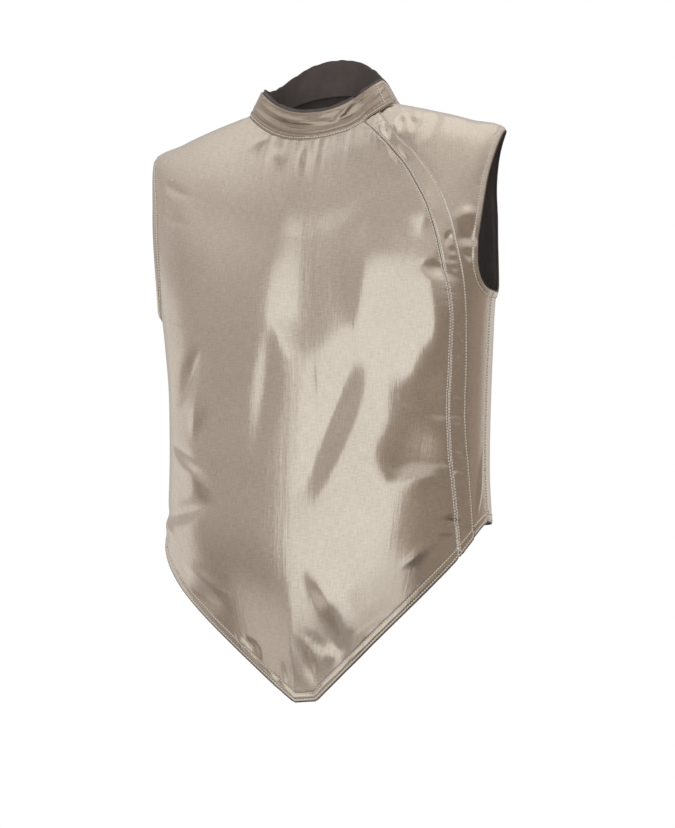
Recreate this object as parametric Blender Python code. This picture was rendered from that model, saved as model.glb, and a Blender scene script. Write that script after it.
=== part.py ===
"""Foil lame: a fencer's sleeveless jacket of metallic cloth, in the shape it has when worn.

Metres, +Z up, -Y to the front and +X to the wearer's left.  The origin is midway between the
shoulders, about level with the sides of the neck, where the wearer holds the jacket up.

The whole jacket is cut from one form.  A place on the form is an angle round the body, in
degrees from the centre front (+90 is the wearer's left side, 180 the back), and a ring number,
counted down from the neckline.  Each sewn piece is a wall over a patch of that form.
"""
import math
from collections import namedtuple

import bmesh
import bpy
from mathutils import Vector

MM = 0.001

# Driving sizes
CLOTH = 1.5 * MM            # foil cloth with its backing
LINING = 1.2 * MM           # lining of the collar
GAP = 0.3 * MM              # clear space between pieces that are sewn together
LAP_GAP = 0.5 * MM          # the same under a piece that laps over another
SEAM_SLACK = 1.15           # seams open this much more, because their edges lean and curve
COLLAR_DROP = (0.1, 1)      # foil cloth of the neckband, from its top to the neckline
LINING_DROP = (0, 0.94)     # its lining stands 4 mm above the foil cloth

# The form, from the neckline down to the hem.  Distances are in millimetres and the two
# closing columns in degrees.  "full" is the exponent of the ring's outline, 2 for an ellipse,
# and "vee" turns a level ring into the pointed front hem.
Ring = namedtuple("Ring", "centre_x front_y front_z side_x side_y side_z back_y back_z"
                          " full vee closing flap_edge")
RINGS = (
    #    centre front       side             back     full  vee  closing
    Ring(0, -62, -37, 85, 0, 8, 62, 40, 2.30, 0.0, 39.3, 54.5),            # neckline
    Ring(0, -84, -72, 124, 6, -2, 92, -4, 2.15, 0.0, 39.5, 47.0),
    Ring(0, -102, -113, 164, 12, -14, 108, -56, 1.95, 0.0, 40.3, 46.5),
    Ring(0, -112, -155, 200, 16, -31, 114, -105, 1.80, 0.0, 40.3, 46.0),    # shoulder point
    Ring(0, -119, -190, 204, 14, -84, 116, -150, 2.05, 0.0, 42.7, 49.3),
    Ring(1, -124, -225, 199, 8, -148, 115, -192, 2.25, 0.0, 46.5, 54.8),
    Ring(3, -127, -260, 190, 2, -212, 112, -236, 2.35, 0.0, 51.6, 61.8),    # armpit
    Ring(6, -130, -325, 181, 0, -286, 108, -300, 2.35, 0.0, 54.4, 65.2),
    Ring(6, -131, -410, 178, 0, -350, 106, -360, 2.35, 0.15, 54.8, 65.8),
    Ring(5, -127, -520, 178, 0, -410, 106, -410, 2.35, 0.6, 58.0, 69.3),    # waist
    Ring(3, -100, -650, 182, 0, -464, 110, -455, 2.35, 1.0, 58.6, 69.4),    # hem
)
NECKLINE, SHOULDER_POINT, ARMPIT, HEM = 0, 2.95, 6, len(RINGS) - 1
TIP_HALF_WIDTH = 12.5       # the hem's point is cut off square
TIP_CURVE = 0.14            # share of the front hem's rise that comes late, in a curve
TIP_CURVE_POWER = 8
LEFT_RAISED_NECK = 0.035    # the left side is carried higher, per unit across
LEFT_RAISED_HEM = 0.05

# Top of the neckband, in millimetres, above the neckline ring
BAND_TOP = RINGS[0]._replace(front_y=-54, front_z=0, side_x=69, side_y=-3, side_z=38,
                             back_y=56, back_z=78)
BAND_START = 44 - 360       # the band goes once round from its inner end, in degrees,
BAND_STEP = 8               # in this many steps,
BAND_STEPS, LINING_STEPS = 49, 44      # and its outer end laps over the inner one
BAND_CLIMB = (18, 42)       # where the outer end climbs

SHOULDER_SEAM, SIDE_SEAM = 95, 86      # degrees
ARMHOLE_FRONT, ARMHOLE_BACK = 24, 25   # degrees that the armhole is cut in from the seams
ARMHOLE_FULLNESS = 2.5
FLAP_CLIMB = 0.32           # share of the flap's width in which it climbs over the left front
UNDERLAP = 0.4              # where the left front starts, as a share of the flap's width

# How finely the walls are divided
FRONT_COLUMNS, LEFT_FRONT_COLUMNS, BACK_COLUMNS = 26, 6, 22
FLAP_COLUMNS = (0, FLAP_CLIMB / 2, FLAP_CLIMB, 0.66, 1)     # shares of its width
BAND_ROWS = 2
SHOULDER_ROWS, ARMHOLE_ROWS = 6, 12
LOWER_ROWS = ((ARMPIT, 8, 5), (8, 9, 4), (9, HEM, 6))       # from ring, to ring, rows

# The largest folds.  From one end to the other, in degrees round the body and millimetres of
# height, with the half width and the depth in millimetres; a ridge has a positive depth.
Fold = namedtuple("Fold", "angle height to_angle to_height width depth")
FOLDS = (
    Fold(2, -527, 11, -604, 15, -6.0),       # trough down to the point
    Fold(-46, -498, -23, -524, 15, 5.0),     # right hem: ridge over a trough
    Fold(-46, -532, -24, -545, 13, -4.5),
    Fold(-33, -268, -43, -368, 18, 5.0),     # right side: hanging lobe
    Fold(-72, -366, -30, -404, 15, -6.0),
    Fold(-80, -398, -40, -420, 15, 4.0),
    Fold(-95, -434, -34, -440, 14, -5.0),
    Fold(14, -285, 6, -405, 18, -3.0),       # belly
    Fold(26, -368, 30, -404, 20, -3.5),
    Fold(50, -405, 34, -426, 14, 4.0),
    Fold(40, -472, 51, -463, 13, -3.5),
    Fold(34, -499, 48, -480, 13, 4.0),
    Fold(120, -250, 148, -330, 18, -4.0),    # back: drawn from the armholes to the waist
    Fold(-118, -255, -150, -345, 19, -4.5),
    Fold(166, -300, 172, -420, 17, 4.0),
    Fold(-160, -350, -168, -440, 15, 4.5),
    Fold(128, -390, 150, -430, 15, -4.5),
    Fold(-135, -400, -120, -440, 14, -4.0),
)
FOLD_REACH = 155            # millimetres of cloth in a radian round the body

# Colours of the materials: foil cloth and the brown-grey lining
FOIL = ("foil cloth", (0.46, 0.41, 0.34), 0.38, 0.75)
BACKING = ("collar lining", (0.09, 0.075, 0.07), 0.8, 0.0)


def along(values, place):
    """Smooth curve through values at 0, 1, 2 and so on."""
    last = len(values) - 1
    place = min(max(place, 0), last)
    start = min(int(place), last - 1)
    part = place - start
    b, c = values[start], values[start + 1]
    a = values[start - 1] if start else 2 * b - c
    d = values[start + 2] if start + 2 <= last else 2 * c - b
    return 0.5 * (2 * b + (c - a) * part + (2 * a - 5 * b + 4 * c - d) * part ** 2
                  + (3 * b - a - 3 * c + d) * part ** 3)


def ring_at(place):
    """The form's measures at a ring number between the rings of the table."""
    return Ring(*(along(column, place) for column in zip(*RINGS)))


def smooth_step(low, high, value):
    part = min(max((value - low) / (high - low), 0), 1)
    return part * part * (3 - 2 * part)


def ring_point(ring, angle, raised):
    """Point of a ring in metres."""
    sine, cosine = math.sin(math.radians(angle)), math.cos(math.radians(angle))
    front = cosine >= 0
    end_y, end_z = (ring.front_y, ring.front_z) if front else (ring.back_y, ring.back_z)
    x = ring.side_x * math.copysign(abs(sine) ** (2 / ring.full), sine)
    y = ring.side_y + (end_y - ring.side_y) * abs(cosine) ** (2 / ring.full)
    drop = cosine * cosine
    if front and ring.vee:
        across = min(max((abs(x) - TIP_HALF_WIDTH) / (ring.side_x - TIP_HALF_WIDTH), 0), 1)
        pointed = 1 - (1 - TIP_CURVE) * across - TIP_CURVE * across ** TIP_CURVE_POWER
        drop += ring.vee * (pointed - drop)
    z = ring.side_z + (end_z - ring.side_z) * drop + raised * x
    return Vector((x + ring.centre_x, y, z)) * MM


def form_point(angle, place):
    raised = LEFT_RAISED_NECK + (LEFT_RAISED_HEM - LEFT_RAISED_NECK) * place / HEM
    return ring_point(ring_at(place), angle, raised)


def band_point(angle, drop):
    """Point of the neckband, with drop 0 at its top and 1 at the neckline."""
    ring = Ring(*(top + (low - top) * drop for low, top in zip(RINGS[0], BAND_TOP)))
    return ring_point(ring, angle, LEFT_RAISED_NECK)


def outward(surface, angle, place, last, turn=0.5, step=0.02):
    """Unit normal of a surface, from its differences over a small turn and a small step."""
    round_body = surface(angle + turn, place) - surface(angle - turn, place)
    down = surface(angle, min(place + step, last)) - surface(angle, max(place - step, 0))
    return down.cross(round_body).normalized()


def fold_depth(angle, height):
    """Sum of the folds at a place, in metres along the outward normal."""
    total = 0
    for fold in FOLDS:
        run = Vector((math.radians(fold.to_angle - fold.angle) * FOLD_REACH,
                      fold.to_height - fold.height))
        offset = Vector((math.radians(angle - fold.angle) * FOLD_REACH,
                         height / MM - fold.height))
        share = min(max(offset.dot(run) / run.length_squared, 0), 1)
        total += fold.depth * MM * math.exp(-(offset - run * share).length_squared
                                            / fold.width ** 2)
    return total


def cloth_point(angle, place, lift):
    """Point of the jacket's body with its folds, moved out by lift."""
    turned = (angle + 180) % 360 - 180
    point = form_point(turned, place)
    depth = fold_depth(turned, point.z)
    return point + outward(form_point, turned, place, HEM) * (lift + depth)


def band_lap(angle):
    """How far the neckband's outer end stands off, over its inner end."""
    return (CLOTH + LAP_GAP) * smooth_step(*BAND_CLIMB, angle)


def neckband_point(angle, drop, lift):
    """Point of the neckband; its lower edge clears the body's upper edge."""
    clear = (LAP_GAP + band_lap(angle)) * drop
    return (band_point(angle, drop) + outward(band_point, angle, drop, 1) * lift
            + Vector((0, 0, clear)))


def wall(name, surface, rows, stations, left, right, lift, thickness, material):
    """A closed wall over a patch; each row runs from left(row) to right(row).

    A flat grid is extruded by one unit and then laid on the surface: its upper side is the
    cloth's face, and its lower side lies a thickness further in on the same normals.
    """
    mesh = bpy.data.meshes.new(name)
    cage = bmesh.new()
    bmesh.ops.create_grid(cage, x_segments=len(stations) - 1, y_segments=len(rows) - 1, size=1)
    extruded = bmesh.ops.extrude_face_region(cage, geom=cage.faces[:])["geom"]
    upper = [part for part in extruded if isinstance(part, bmesh.types.BMVert)]
    bmesh.ops.translate(cage, verts=upper, vec=(0, 0, 1))
    bmesh.ops.recalc_face_normals(cage, faces=cage.faces)
    for vertex in cage.verts:
        across = stations[round((vertex.co.x + 1) / 2 * (len(stations) - 1))]
        place = rows[round((1 - vertex.co.y) / 2 * (len(rows) - 1))]
        start, end = left(place), right(place)
        angle = start + (end - start) * across
        depth = thickness * (1 - vertex.co.z)
        vertex.co = surface(angle, place, lift(angle, across) - depth)
    cage.to_mesh(mesh)
    cage.free()
    mesh.materials.append(material)
    mesh.shade_smooth()
    mesh.set_sharp_from_angle(angle=math.radians(60))
    bpy.data.collections["foil lame"].objects.link(bpy.data.objects.new(name, mesh))


def material(name, colour, roughness, metallic):
    made = bpy.data.materials.new(name)
    made.use_nodes = True
    shader = made.node_tree.nodes["Principled BSDF"]
    shader.inputs["Base Color"].default_value = (*colour, 1)
    shader.inputs["Roughness"].default_value = roughness
    shader.inputs["Metallic"].default_value = metallic
    return made


def even(count):
    return [index / count for index in range(count + 1)]


def rows_between(start, end, count):
    return [start + (end - start) * share for share in even(count)]


def body_rows():
    """Ring numbers of the cloth's rows, closer where the armhole turns."""
    middle, half = (SHOULDER_POINT + ARMPIT) / 2, (ARMPIT - SHOULDER_POINT) / 2
    rows = rows_between(NECKLINE, SHOULDER_POINT, SHOULDER_ROWS)[:-1]
    rows += [middle - half * math.cos(math.pi * share) for share in even(ARMHOLE_ROWS)]
    for start, end, count in LOWER_ROWS:
        rows += rows_between(start, end, count)[1:]
    return rows


def seam_at(place):
    """Angle of the shoulder seam, the armhole's middle or the side seam."""
    share = min(max((place - SHOULDER_POINT) / (ARMPIT - SHOULDER_POINT), 0), 1)
    return SHOULDER_SEAM + (SIDE_SEAM - SHOULDER_SEAM) * share


def cut_in(place, most):
    """How far the armhole is cut in from the seam line, in degrees."""
    middle, half = (SHOULDER_POINT + ARMPIT) / 2, (ARMPIT - SHOULDER_POINT) / 2
    off_middle = min(abs(place - middle) / half, 1)
    return most * (1 - off_middle ** ARMHOLE_FULLNESS) ** (1 / ARMHOLE_FULLNESS)


def clear_of_seam(angle, place):
    """Angle that half a seam's gap covers at a place."""
    one_degree = (form_point(angle + 0.5, place) - form_point(angle - 0.5, place)).length
    return GAP / 2 * SEAM_SLACK / one_degree


def front_edge(side):
    """Front piece's edge at the wearer's left (side 1) or right (side -1)."""
    def edge(place):
        angle = seam_at(place) - cut_in(place, ARMHOLE_FRONT)
        return side * (angle - clear_of_seam(angle, place))
    return edge


def back_edge(side):
    def edge(place):
        angle = seam_at(place) + cut_in(place, ARMHOLE_BACK)
        angle += clear_of_seam(angle, place)
        return angle if side > 0 else 360 - angle
    return edge


def closing(share, clear):
    """Line across the flap: share 0 is the closing seam and 1 the flap's free edge."""
    def line(place):
        ring = ring_at(place)
        angle = ring.closing + (ring.flap_edge - ring.closing) * share
        return angle + clear * clear_of_seam(angle, place)
    return line


def flat(angle, across):
    return 0


def flap_lift(angle, across):
    return (CLOTH + LAP_GAP) * smooth_step(0, FLAP_CLIMB, across)


def band_lift(angle, across):
    return band_lap(angle)


def lining_lift(angle, across):
    return -(CLOTH + LAP_GAP)


def band_end(steps):
    return lambda drop: BAND_START + BAND_STEP * steps


def build():
    for thing in list(bpy.data.objects):
        bpy.data.objects.remove(thing)
    jacket = bpy.data.collections.new("foil lame")
    bpy.context.scene.collection.children.link(jacket)
    foil, backing = material(*FOIL), material(*BACKING)
    rows = body_rows()
    wall("front_panel", cloth_point, rows, even(FRONT_COLUMNS), front_edge(-1),
         closing(0, -1), flat, CLOTH, foil)
    wall("closure_flap", cloth_point, rows, FLAP_COLUMNS, closing(0, 1), closing(1, 0),
         flap_lift, CLOTH, foil)
    wall("left_front_panel", cloth_point, rows, even(LEFT_FRONT_COLUMNS),
         closing(UNDERLAP, 0), front_edge(1), flat, CLOTH, foil)
    wall("back_panel", cloth_point, rows, even(BACK_COLUMNS), back_edge(1), back_edge(-1),
         flat, CLOTH, foil)
    wall("collar", neckband_point, rows_between(*COLLAR_DROP, BAND_ROWS), even(BAND_STEPS),
         band_end(0), band_end(BAND_STEPS), band_lift, CLOTH, foil)
    wall("collar_lining", neckband_point, rows_between(*LINING_DROP, BAND_ROWS),
         even(LINING_STEPS), band_end(0), band_end(LINING_STEPS), lining_lift, LINING, backing)


build()
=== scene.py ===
"""Looks of the foil lame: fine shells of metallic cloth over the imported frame's own form.

Metres, +Z up, -Y to the front and +X to the wearer's left.  Sizes of the cloth are in
millimetres until a mesh is written.  A place on the jacket is an angle round the body, in degrees
from the centre front (+90 is the wearer's left side, 180 the back), and a ring number, counted
down from the neckline.  Creases lie on the cloth by their millimetres across from the centre
front and their height.
"""
import math
from collections import namedtuple

import bpy
import numpy as np
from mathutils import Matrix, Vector


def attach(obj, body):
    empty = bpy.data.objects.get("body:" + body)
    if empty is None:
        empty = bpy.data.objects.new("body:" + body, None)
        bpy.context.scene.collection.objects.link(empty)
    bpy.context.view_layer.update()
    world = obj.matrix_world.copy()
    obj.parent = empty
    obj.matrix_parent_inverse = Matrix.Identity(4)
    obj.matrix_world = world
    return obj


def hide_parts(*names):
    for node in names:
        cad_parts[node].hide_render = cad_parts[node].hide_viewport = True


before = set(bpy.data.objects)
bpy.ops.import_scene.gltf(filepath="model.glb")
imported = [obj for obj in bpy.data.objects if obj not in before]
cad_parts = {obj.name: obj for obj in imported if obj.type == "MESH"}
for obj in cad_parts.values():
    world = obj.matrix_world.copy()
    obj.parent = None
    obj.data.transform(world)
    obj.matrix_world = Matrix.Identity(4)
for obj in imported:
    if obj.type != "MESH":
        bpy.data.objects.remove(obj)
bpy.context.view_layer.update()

MM = 0.001

# ---------- sizes of the jacket

# A ring has its centre, front, side and back.  "full" squares its corners, and 2 is an ellipse.
# "vee" is how far its front follows the pointed hem.  "closing" and "flap_edge" are the degrees
# of the closing seam and of the flap's free edge.
Ring = namedtuple("Ring", "centre_x front_y front_z side_x side_y side_z back_y back_z"
                          " full vee closing flap_edge")
RINGS = tuple(Ring(*row) for row in (
    # front           side           back      full  vee   closing
    (0, -62, -37, 85, 0, 8, 62, 40, 2.30, 0.0, 39.3, 54.5),  # neckline
    (0, -84, -72, 124, 6, -2, 92, -4, 2.15, 0.0, 39.5, 47.0),
    (0, -102, -113, 164, 12, -14, 108, -56, 1.95, 0.0, 40.3, 46.5),
    (0, -112, -155, 200, 16, -31, 114, -105, 1.80, 0.0, 40.3, 46.0),  # shoulder point
    (0, -119, -190, 204, 14, -84, 116, -150, 2.05, 0.0, 42.7, 49.3),
    (1, -124, -225, 199, 8, -148, 115, -192, 2.25, 0.0, 46.5, 54.8),
    (3, -127, -260, 190, 2, -212, 112, -236, 2.35, 0.0, 51.6, 61.8),  # armpit
    (6, -130, -325, 181, 0, -286, 108, -300, 2.35, 0.0, 54.4, 65.2),
    (6, -131, -410, 178, 0, -350, 106, -360, 2.35, 0.15, 54.8, 65.8),
    (5, -127, -520, 178, 0, -410, 106, -410, 2.35, 0.6, 58.0, 69.3),  # waist
    (3, -100, -650, 182, 0, -464, 110, -455, 2.35, 1.0, 58.6, 69.4),  # hem
))
SHOULDER_POINT, ARMPIT, WAIST, HEM = 2.95, 6, 9, len(RINGS) - 1  # ring numbers
TIP_HALF_WIDTH = 12.5  # the hem's point is cut off square
TIP_CURVE = 0.14  # share of the front hem's rise that comes late, in a curve
TIP_CURVE_POWER = 8
LEFT_RAISED_NECK = 0.035  # the left side is carried higher, per unit across
LEFT_RAISED_HEM = 0.05
SHOULDER_SEAM, SIDE_SEAM = 95, 86  # degrees
ARMHOLE_FRONT, ARMHOLE_BACK = 24, 25  # degrees that the armhole is cut in from the seams
ARMHOLE_FULLNESS = 2.5
LAP_LIFT, LAP_CLIMB = 1.35, 14  # height of the lap in millimetres, degrees it climbs in
ARMHOLE_STAND = (3.4, 2.0)  # the armhole's edge stands off the hollow beside it: right, left
ARMHOLE_STAND_BACK, ARMHOLE_BACK_START = 2.5, SIDE_SEAM + 8
ARMHOLE_HOLLOW = 9.5  # millimetres from the edge to the hollow
HOLLOW_WIDTHS = (6, 50)  # of the hollow, towards the edge and towards the body
HOLLOW_RINGS = (SHOULDER_POINT - 0.1, SHOULDER_POINT + 1.1)  # it sets in between these
SHOULDER_CAP = 4  # the shoulders' outer ends are squared out
SHOULDER_CAP_WIDTHS = (16, 0.5)  # in degrees and in rings
UNDERLAP = 0.4  # where the left front starts, as a share of the flap's width

BAND_TOP = RINGS[0]._replace(front_y=-54, front_z=0, side_x=69, side_y=-3, side_z=38,
                             back_y=56, back_z=78)
COLLAR_DROP, LINING_DROP = (0.12, 1), (0, 1.07)
BAND_START, BAND_END, LINING_END = -316, 76, 36  # degrees round the neck
BAND_CLIMB = (18, 42)  # where the band's outer end climbs over its inner one
BAND_HEIGHT = 38
# The band's lower edge clears the neckline by so many millimetres, by more on its lap, and by
# less in a dip before the lap, between these degrees
BAND_CLEAR, BAND_CLEAR_LAP, BAND_DIP = 0.2, 1.1, 2.0
BAND_LAP_RISE, BAND_DIP_START, BAND_DIP_END = (36, 44), (16, 28), (36, 42)
BAND_BOX = (1.5, 13.5)  # degrees from the band's outer end to its box of stitches

CLOTH = 1.5  # foil cloth with its backing, in millimetres
SHELL = 1.1  # thickness that shows at its cut edges
LINING = 1.2
GAP, LAP_GAP = 0.3, 0.5

# Rows of topstitching, seams and edges: millimetres from the line that they follow, and how deep
# and how wide they draw the cloth in.  With a negative depth the cloth stands up.
Row = namedtuple("Row", "distance depth width")
HEM_ROWS = Row(2.0, 0.5, 0.8), Row(8.4, 0.6, 0.9)
ARMHOLE_ROW = Row(6.2, 0.6, 0.9)
CLOSING_SEAM, CLOSING_ROW = Row(0, 0.8, 0.7), Row(1.9, 0.35, 0.7)
FLAP_ROW = Row(1.8, 0.75, 0.9)
SEAM, SEAM_ROW = Row(0, 0.7, 0.8), Row(2.0, 0.4, 0.8)
FOLDED_EDGE = Row(0, 0.5, 0.7)
BAND_ROWS = Row(3.0, 0.55, 0.9), Row(8.0, 0.55, 0.9)
BAND_MIDDLE = Row(5.5, -0.25, 2.0)  # the cloth between the band's rows
BAND_LOW_EDGE, BAND_TOP_EDGE = Row(0, 0.5, 0.8), Row(0, 0.6, 0.9)
TURNED_HEM, TURNED_ARMHOLE = 0.4, 0.5  # doubled cloth of the turned edges stands up
TURNED_STEP = (-0.3, 1.2)  # where it ends, from its row of stitches

# Small uneven waves of the cloth, with their period in millimetres.  They reach so many
# millimetres from the line that they follow, or rings at the neck, or shares of the band's drop
# on its lining.  Over the longer "slow" they come and go, and "steady" is the share that stays.
Ripple = namedtuple("Ripple", "period reach depth seed slow steady", defaults=(1, 1))
HEM_RIPPLE, ARMHOLE_RIPPLE = Ripple(9, 4.5, 0.4, 3, 60, 0.55), Ripple(9, 4.5, 0.35, 5, 60, 0.55)
CLOSING_RIPPLE, SEAM_RIPPLE = Ripple(8, 7, 0.4, 7, 50, 0.5), Ripple(8, 6, 0.2, 9, 45, 0.5)
NECK_RIPPLE = Ripple(15, 0.9, 0.6, 11, 70, 0.6)
BAND_ROWS_RIPPLE, BAND_TOP_RIPPLE = Ripple(4.5, 2.6, 0.36, 21), Ripple(16, 5, 0.18, 23)
LINING_RIPPLE, LINING_RIM_RIPPLE = Ripple(14, 0.15, 0.2, 31), Ripple(22, 0.12, 0.5, 33)
LOW_RINGS, SEAM_GROWTH = (7.5, 9.5), 2.5  # the seams' ripples grow between these rings

# ---------- creases

# From one end to the other, in millimetres across the cloth and of height.  "bend" bows the run
# towards its high side: the wearer's left of a run that goes down, above a run that goes across.
# "high" and "low" are the half widths on that side and the other.  A ridge has a positive depth.
# The crease is deepest at "peak", a share of its length, or halfway, and fades to both ends.
Crease = namedtuple("Crease", "across height to_across to_height bend high low depth peak",
                    defaults=(0.5,))
CREASES = tuple(Crease(*row) for row in (
    # soft upright folds over the chest and belly
    (0, -60, -4, -290, 2, 50, 21, -5.8, 0.75),
    (-30, -236, -56, -414, 3, 11, 15, -2.6),
    (94, -96, 60, -290, 4, 46, 24, 6.5, 0.42),
    (60, -250, -2, -438, 6, 26, 16, -6.0, 0.45),
    (14, -282, 12, -404, 0, 6, 6, -2.0),
    (100, -262, 14, -460, 4, 68, 26, 6.0),
    (154, -270, 146, -390, -4, 26, 48, -2.8),
    (130, -346, 122, -436, -6, 44, 32, -7.0),
    (148, -140, 158, -290, 0, 24, 28, 6.4, 0.65),
    (164, -238, 110, -324, 0, 18, 24, 4.2),
    (104, -116, 166, -134, 2, 26, 21, 3.2, 0.65),
    # point of the hem
    (5, -511, 78, -634, 10, 34, 13, 5.8, 0.34),
    (8, -586, 42, -612, 0, 4, 6, 1.0),
    (-46, -648, 52, -648, 0, 40, 20, -3.2),
    (32, -584, 36, -614, 1, 4, 4, 1.6, 0.6),
    (-2, -572, 34, -612, 2, 4, 4, -1.5, 0.6),
    (-12, -576, 16, -640, 2, 5, 6, -1.8, 0.6),
    (-26, -590, -16, -644, 1, 4, 5, -1.5, 0.6),
    (-38, -610, -30, -645, 0, 4, 4, -1.3),
    (66, -576, 40, -604, 0, 9, 9, -1.2),
    # right hem
    (-186, -496, -86, -536, -3, 9, 10, 2.8, 0.4),
    (-180, -524, -96, -552, -3, 9, 11, -2.8, 0.45),
    (-98, -570, -84, -596, 2, 5, 6, 2.2, 0.6),
    (-84, -580, -58, -612, 3, 6, 6, -2.6),
    # right side
    (-116, -264, -166, -334, 0, 7, 16, -4.0),
    (-132, -238, -112, -264, 0, 3, 4, -0.6, 0.6),
    (-110, -262, -138, -370, 3, 12, 13, 4.6, 0.65),
    (-196, -360, -112, -406, -3, 8, 7, -2.6, 0.45),
    (-186, -372, -104, -430, 5, 7, 20, 5.6, 0.66),
    (-296, -440, -100, -438, -6, 12, 12, -4.8, 0.66),
    (-270, -440, -176, -482, 0, 9, 10, 2.2, 0.4),
    # left side
    (120, -512, 182, -478, 2, 8, 9, 1.6),
    (162, -406, 90, -438, 2, 12, 15, 2.2, 0.4),
    (163, -158, 157, -196, 2, 8, 7, -1.7, 0.7),
    (154, -178, 149, -203, 0, 22, 10, -2.4),
    (250, -372, 262, -456, -5, 5, 5, 2.6, 0.6),
    (183, -252, 186, -268, 0, 3, 3, -1.1, 0.6),
    (187, -396, 189, -411, 0, 3.5, 3, -1.3, 0.6),
    # belly and neck
    (80, -16, 91, -38, 0, 4, 4, 1.8),
    (92, -18, 101, -44, 0, 3.5, 3.5, -2.2),
    (84, -37, 103, -27, 1, 3.5, 4.5, -2.2),
    (82, -24, 96, -19, 0, 3, 4, 1.8),
    (104, -12, 112, -42, 0, 4, 4, 2.3, 0.4),
    (118, -6, 123, -34, 0, 4.5, 4.5, -2.4, 0.4),
    (130, 0, 140, -34, 0, 5, 6, -2.4),
    (112, -50, 136, -70, 2, 6, 7, -1.8, 0.4),
    (96, -46, 124, -84, 3, 4, 6, -1.4, 0.4),
    (-84, -46, -50, -30, 0, 6, 7, 1.6, 0.4),
    (-48, -44, -30, -80, 2, 7, 7, 1.6, 0.4),
    (-9, -44, -8, -92, 0, 4, 4, 0.8, 0.3),
    (-3, -42, 0, -96, 0, 4, 5, -0.9, 0.3),
    # right armhole
    (-212, -74, -140, -98, -3, 6, 7, -1.8, 0.15),
    (-214, -98, -188, -96, 0, 4, 5, -1.4, 0.2),
    (-214, -104, -140, -132, -2, 6, 7, -1.6, 0.15),
    # left shoulder and armhole
    (186, 2, 138, -50, 4, 9, 10, -2.2, 0.4),
    (150, -4, 138, -32, 2, 6, 7, -1.6),
    (100, -28, 84, -34, 0, 5, 5, 1.4, 0.4),
    (182, -134, 226, -122, 3, 5, 15, 3.0, 0.6),
    (186, -160, 226, -152, 4, 12, 7, -3.0, 0.6),
    (194, -171, 216, -176, 2, 6, 5, -1.6),
    (172, -165, 185, -147, 3, 3, 4, -1.9),
    (174, -168, 187, -171, 1, 3, 3, -1.0),
    (173, -178, 188, -177, -1, 3, 3, -0.9),
    (175, -188, 187, -189, 1, 3.5, 3, -0.8),
    # back: drawn from the armholes to the waist
    (335, -240, 420, -345, 8, 15, 17, -4.0, 0.4),
    (-330, -246, -430, -360, 8, 15, 17, -4.4, 0.4),
    (470, -290, 486, -430, -5, 15, 16, 4.0),
    (-450, -340, -476, -446, 4, 13, 15, 4.4),
    (360, -386, 425, -432, 3, 13, 14, -4.4),
    (-385, -398, -345, -444, -3, 12, 13, -4.0),
    (330, -330, 395, -322, 2, 10, 12, 2.6, 0.4),
    (-300, -330, -390, -318, 3, 10, 12, 2.4, 0.4),
    (495, -60, 440, -130, 4, 14, 18, -2.2),
    (-480, -70, -430, -150, 4, 14, 18, -2.0),
    (300, -60, 352, -120, 3, 9, 10, 2.0, 0.3),
    (-292, -74, -346, -132, 3, 9, 10, 1.8, 0.3),
))
BAND_CREASES = tuple(Crease(*row) for row in (
    # long soft wrinkles round the neckband, by millimetres across and of drop below its top
    (-95, -13, 24, -18, 1, 2.4, 3.2, 2.2, 0.6),
    (-90, -19, 40, -24, 1, 2.4, 2.8, -2.0),
    (-70, -8, 6, -9, 0, 2.2, 2.4, -1.5),
    (-10, -9, 75, -12, 1, 2.4, 3.2, 2.0, 0.6),
    (14, -17, 72, -20, -1, 2.2, 2.4, -1.8),
    (20, -23, 54, -8, 1, 3.4, 2.4, 2.6),
    (-120, -24, -20, -27, 0, 1.8, 2.2, 1.3),
    (-230, -14, -130, -18, 1, 2.2, 2.6, 1.4),
    (-280, -22, -170, -20, 1, 2.0, 2.4, -1.2),
    (60, -22, 104, -14, 0, 2.2, 2.6, 1.0),
))

# Puckers across the closing seam, which reach from "start" to "end" in millimetres beside it
Pucker = namedtuple("Pucker", "height start end depth")
PUCKERS = tuple(Pucker(*row) for row in (
    (-262, -16, 4, -0.5), (-286, 2, 20, 0.6), (-323, -14, 2, -0.5),
    (-324, 4, 24, -0.8), (-346, -26, 2, -0.35), (-345, 4, 26, -0.8),
    (-355, -20, 0, 0.2), (-358, 4, 24, 0.9), (-382, 2, 22, -1.1),
    (-394, 4, 26, 1.1), (-404, 4, 22, -1.0), (-402, -18, 2, 0.4),
    (-420, -24, 0, -0.6), (-436, 2, 24, 0.9), (-450, -18, 4, 0.9),
    (-460, -22, 2, -1.2), (-462, 4, 22, -1.0), (-470, -26, -2, 1.1),
))
PUCKER_WIDTH = 3.2
FADE = 0.45  # a crease narrows to this share of its width at its ends
RUN_OUT = 0.02  # share of its length by which it fades out past each end
CREASE_REACH = 3  # widths at which it has faded out sideways
CREASE_STEPS = 8


def along(values, place):
    """Smooth curve through rows of values at 0, 1, 2 and so on."""
    last = len(values) - 1
    place = np.clip(place, 0, last)
    start = np.minimum(place.astype(int), last - 1)
    part = (place - start)[..., None]
    before, after = 2 * values[:1] - values[1:2], 2 * values[-1:] - values[-2:-1]
    padded = np.vstack((before, values, after))
    a, b, c, d = (padded[start + offset] for offset in range(4))
    return 0.5 * (2 * b + (c - a) * part + (2 * a - 5 * b + 4 * c - d) * part**2
                  + (3 * b - a - 3 * c + d) * part**3)


def smooth_step(low, high, value):
    part = np.clip((value - low) / (high - low), 0, 1)
    return part * part * (3 - 2 * part)


def bell(distance, width):
    return np.exp(-(distance / width) ** 2)


def signed_power(wave, power):
    return np.sign(wave) * np.abs(wave) ** power


WAVE_RATIOS = (0.61, 0.83, 1.17, 1.53)


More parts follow.
